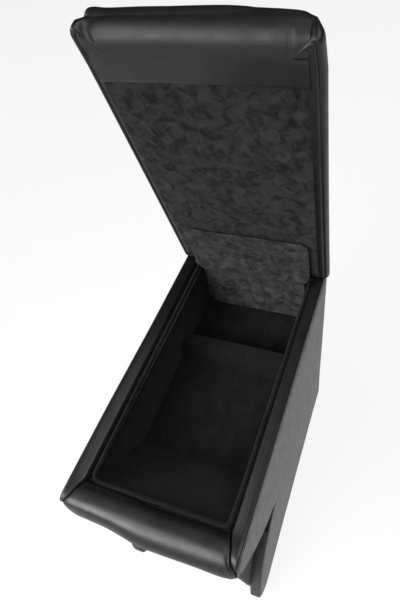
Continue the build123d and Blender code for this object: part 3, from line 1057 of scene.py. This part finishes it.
lidTucks = {
    "rightX": 59.6, "rightReach": 251.5, "leftX": -67.0, "leftLean": 0.17, "leftEnd": 273.0,
    "leftReach": 248.5, "high": 0.42, "groove": 0.4, "soft": 1.1, "rumple": 0.22,
    "rumplePitch": 5.0,
}
lidBand = {
    "left": -71.8, "right": 69.2, "edge": 232.0, "edgeBow": 1.6, "edgeSway": 0.35,
    "edgePitch": 16.0, "margin": 3.0,
    "end": [(0, 17.5), (2.2, 13.5), (2.65, 11.1), (3.5, 9.1), (4.65, 7.46), (5.95, 6.0), (7.35, 4.66),
            (8.9, 3.49), (10.6, 2.52), (12.5, 1.72), (14.5, 1.1), (16.7, 0.67), (19.15, 0.52), (23, 0.5),
            (90, 0.5)],
    "ripple": 0.1, "ripplePitch": 14.0, "crease": 0.16, "creasePitch": 9.0, "creaseStretch": 0.4,
    "hem": 0.3, "hemWidth": 1.6, "settle": 4.0, "thick": 0.9, "columns": 130, "rows": 60,
}


def tuckHeight(tucks, x, reach):
    soft = tucks["soft"]
    aside = ramp(x, (tucks["rightX"], soft))
    ahead = ramp(reach, (tucks["rightReach"], soft))
    leftEdge = tucks["leftX"] - tucks["leftLean"] * (tucks["leftEnd"] - reach)
    leftAhead = ramp(reach, (tucks["leftReach"], soft))
    raised = aside * ahead + smoothStep((leftEdge - x) / soft) * leftAhead
    groove = bell(x - tucks["rightX"] + soft, soft) * ahead
    groove += bell(reach - tucks["rightReach"] + soft, soft) * aside
    groove += bell(x - leftEdge - soft, soft) * leftAhead
    rumple = tucks["rumple"] * wobble(x, reach, 0, tucks["rumplePitch"]) * raised
    return tucks["high"] * raised - tucks["groove"] * groove + rumple


def lidBow(x):
    return lidForm["bow"] * (1 - (x / lidForm["half"]) ** 2)


def bandFront(x, margin):
    radius = lidForm["frontCorner"] - margin
    past = max(0, abs(x - lidForm["shift"]) - lidForm["half"] + lidForm["frontCorner"])
    past = min(radius * arcShare, past)
    return lidForm["reach"] - lidForm["frontCorner"] + math.sqrt(radius ** 2 - past ** 2) + lidBow(x)


def endRise(profile, x, reach):
    radius = lidForm["frontCorner"]
    past = abs(x - lidForm["shift"]) - lidForm["half"] + radius
    ahead = reach - lidBow(x) - lidForm["reach"] + radius
    inset = radius - ahead
    if past > 0 and ahead > 0:
        inset = radius - math.hypot(past, ahead)
    flat = profile[-1][1]
    for (insetA, riseA), (insetB, riseB) in zip(profile, profile[1:]):
        if inset <= insetB:
            rise = riseA + (riseB - riseA) * (max(0, inset) - insetA) / (insetB - insetA)
            return flat + (rise - flat) * endShare(x)
    return flat


def makeLidBand(setup):
    piece = addGrid("lidBand", setup["columns"], setup["rows"])
    for point in piece.data.vertices:
        across = point.co.x + 0.5
        x = setup["left"] + (setup["right"] - setup["left"]) * across
        edge = setup["edge"] - setup["edgeBow"] * (2 * across - 1) ** 2
        edge += setup["edgeSway"] * wobble(x, 0, 0, setup["edgePitch"])
        front = bandFront(x, setup["margin"])
        reach = edge + (front - edge) * (point.co.y + 0.5)
        ripple = setup["ripple"] * wobble(x, reach, 9, setup["ripplePitch"])
        ripple += setup["crease"] * wobble(x * setup["creaseStretch"], reach, 4, setup["creasePitch"])
        hem = setup["hem"] * bell(reach - edge, setup["hemWidth"])
        settle = 1 - smoothStep((reach - front + setup["settle"]) / setup["settle"])
        rise = endRise(setup["end"], x, reach) + hem
        point.co = lidPoint(x, reach, rise - (tuckHeight(lidTucks, x, reach) + ripple) * settle)
    applyModifier(piece, "SOLIDIFY", thickness=setup["thick"] * mm, offset=-1.0)
    finishPiece(piece, 60, lidLeather, "black_leather", "lid")


makeLidBand(lidBand)


# Velour lining of the lid

lidLining = {
    "left": -72.0, "right": 69.0, "rear": 8.0, "front": 234.5, "rise": 0.75, "depth": 1.2,
    "ripple": 0.14, "ripplePitch": 25.0, "fineRipple": 0.1, "finePitch": 9.0, "tuck": 0.8,
    "tuckWidth": 1.2, "frontTuck": 0.5, "frontReaches": (229.0, 2.5), "columns": 60, "rows": 96,
}


def makeLidLining(setup):
    piece = addGrid("lidLining", setup["columns"], setup["rows"])
    width = setup["right"] - setup["left"]
    length = setup["front"] - setup["rear"]
    for point in piece.data.vertices:
        x = setup["left"] + (point.co.x + 0.5) * width
        reach = setup["rear"] + (point.co.y + 0.5) * length
        ripple = setup["ripple"] * wobble(x, reach, 0, setup["ripplePitch"])
        ripple += setup["fineRipple"] * wobble(x, reach, 3, setup["finePitch"])
        tucked = setup["tuck"] * bell(min(x - setup["left"], setup["right"] - x), setup["tuckWidth"])
        tucked += setup["frontTuck"] * ramp(reach, setup["frontReaches"])
        point.co = lidPoint(x, reach, setup["rise"] + ripple + tucked)
    applyModifier(piece, "SOLIDIFY", thickness=setup["depth"] * mm, offset=-1.0)
    finishPiece(piece, 50, lidVelour, "lid_velour", "lid", "lid_lining")


makeLidLining(lidLining)
print("lid ready")


# Velour flap over the hinge, one sheet from the back of the tray up onto the lid

hingeFlap = {
    "path": [(13.3, 173.0), (13.3, 222.0), (14.6, 227.5), (17.4, 232.2), (18.7, 236.0), (18.3, 240.0)],
    "pathOrder": 3, "pathSteps": 24, "lidReaches": (14.0, 63.0), "rise": -2.0, "lowerHalf": 55.3,
    "upperHalf": 61.0, "widerHeights": (232.0, 9.0), "corner": 6.0, "ripple": 0.25,
    "ripplePitch": 20.0, "thick": 1.4, "columns": 28, "rows": 44,
}


def flapPath(setup):
    knots = [Vector(point) for point in setup["path"]]
    for reach in setup["lidReaches"]:
        place = lidPlace @ lidPoint(0, reach, setup["rise"]) / mm
        knots.append(Vector((rearFace - place.y, place.z)))
    clearSelection()
    bpy.ops.curve.primitive_nurbs_path_add()
    line = bpy.context.object
    spline = line.data.splines[0]
    spline.points.add(len(knots) - len(spline.points))
    for point, knot in zip(spline.points, knots):
        point.co = (*(knot * mm), 0, 1)
    spline.order_u = setup["pathOrder"]
    spline.use_endpoint_u = True
    line.data.resolution_u = setup["pathSteps"]
    traced = bpy.data.meshes.new_from_object(line)
    points = [vertex.co.to_2d() / mm for vertex in traced.vertices]
    bpy.data.objects.remove(line)
    return points


def makeFlap(setup):
    path = flapPath(setup)
    runs = [0.0]
    for start, end in zip(path, path[1:]):
        runs.append(runs[-1] + (end - start).length)
    total = runs[-1]
    slack = 1e-6
    corner = setup["corner"]
    piece = addGrid("hingeFlap", setup["columns"], setup["rows"])
    for point in piece.data.vertices:
        along = (point.co.y + 0.5) * total
        index = max(step for step in range(len(runs) - 1) if runs[step] <= along + slack)
        share = (along - runs[index]) / (runs[index + 1] - runs[index])
        depth, height = path[index].lerp(path[index + 1], share)
        half = setup["lowerHalf"]
        half += (setup["upperHalf"] - setup["lowerHalf"]) * ramp(height, setup["widerHeights"])
        short = max(0, corner - (total - along))
        half -= corner - math.sqrt(max(0, corner ** 2 - short ** 2))
        x = 2 * half * point.co.x
        depth += setup["ripple"] * wobble(x, along, 0, setup["ripplePitch"])
        point.co = boxPoint(x, depth, height)
    applyModifier(piece, "SOLIDIFY", thickness=setup["thick"] * mm, offset=0.0)
    softenShading(piece, 50)
    piece.data.materials.append(flapVelour)
    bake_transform(piece)
    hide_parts("flap_upper", "flap_lower")
    print("flap length", round(total, 1))


makeFlap(hingeFlap)


# Floor, light and camera

studio = {
    "floorSize": 6.0, "floorColour": (0.85, 0.85, 0.85, 1), "shadowShare": 0.12, "ceiling": 0.1,
    "horizon": 1.0, "fall": (0.08, 0.5),
    "softboxes": {
        "front": {"place": Vector((-0.36, -0.8, 0.8)), "size": (0.8, 0.45), "energy": 2.9, "spread": 66,
                  "aim": Vector((0, -0.14, 0.18))},
        "top": {"place": Vector((0.62, 0.0, 1.55)), "size": (1.0, 0.9), "energy": 11.5, "spread": 180,
                "aim": Vector((0, 0, 0.25))},
        "left": {"place": Vector((-1.5, -0.25, 1.1)), "size": (1.0, 0.8), "energy": 16.5, "spread": 180,
                 "aim": Vector((0, 0, 0.25))},
    },
}


def makeFloor(setup):
    clearSelection()
    bpy.ops.mesh.primitive_plane_add(size=setup["floorSize"], location=(0, 0, 0))
    floor = bpy.context.object
    floor.name = "studioFloor"
    material = bpy.data.materials.new("paleFloor")
    material.use_nodes = True
    tree = material.node_tree
    tree.nodes.clear()
    output = addNode(tree, "ShaderNodeOutputMaterial")
    matte = addNode(tree, "ShaderNodeBsdfDiffuse", Color=setup["floorColour"])
    white = addNode(tree, "ShaderNodeEmission", Strength=1.0)
    path = addNode(tree, "ShaderNodeLightPath")
    seen = combine(tree, "MAXIMUM", path.outputs["Is Camera Ray"], path.outputs["Is Glossy Ray"])
    seen = combine(tree, "MAXIMUM", seen, path.outputs["Is Transmission Ray"])
    share = combine(tree, "MULTIPLY", seen, 1 - setup["shadowShare"])
    mix = addNode(tree, "ShaderNodeMixShader")
    tree.links.new(share, mix.inputs["Fac"])
    tree.links.new(matte.outputs["BSDF"], mix.inputs[1])
    tree.links.new(white.outputs["Emission"], mix.inputs[2])
    tree.links.new(mix.outputs["Shader"], output.inputs["Surface"])
    floor.data.materials.append(material)


def makeWorld(setup):
    world = bpy.data.worlds.new("studio")
    scene.world = world
    world.use_nodes = True
    tree = world.node_tree
    background = tree.nodes["Background"]
    coords = addNode(tree, "ShaderNodeTexCoord")
    split = addNode(tree, "ShaderNodeSeparateXYZ")
    tree.links.new(coords.outputs["Generated"], split.inputs["Vector"])
    level = spread(tree, split.outputs["Z"], setup["horizon"], setup["ceiling"], *setup["fall"])
    tree.links.new(level, background.inputs["Strength"])


def makeLights(setup):
    for name, box in setup["softboxes"].items():
        lamp = bpy.data.lights.new(name + "Softbox", "AREA")
        lamp.shape = "RECTANGLE"
        lamp.size, lamp.size_y = box["size"]
        lamp.energy = box["energy"]
        lamp.spread = math.radians(box["spread"])
        light = bpy.data.objects.new(name + "Softbox", lamp)
        scene.collection.objects.link(light)
        light.location = box["place"]
        light.rotation_euler = (box["aim"] - box["place"]).to_track_quat("-Z", "Y").to_euler()


view = {
    "eye": Vector((0.13077, -0.19847, 0.60809)),
    "look": Vector((-0.3206, 0.5280, -0.7864)),
    "roll": -0.235, "sensor": 36, "lens": 29.40, "shift": (-0.01024, 0.0445), "nearest": 0.01,
}


def makeCamera(setup):
    camera = bpy.data.objects.new("photoView", bpy.data.cameras.new("photoView"))
    scene.collection.objects.link(camera)
    turn = setup["look"].to_track_quat("-Z", "Y").to_matrix().to_4x4()
    turn = turn @ Matrix.Rotation(setup["roll"], 4, "Z")
    camera.matrix_world = Matrix.Translation(setup["eye"]) @ turn
    camera.data.sensor_width = setup["sensor"]
    camera.data.lens = setup["lens"]
    camera.data.shift_x, camera.data.shift_y = setup["shift"]
    camera.data.clip_start = setup["nearest"]
    scene.camera = camera


makeFloor(studio)
makeWorld(studio)
makeLights(studio)
makeCamera(view)
scene.view_settings.view_transform = "Standard"
print("stage ready")
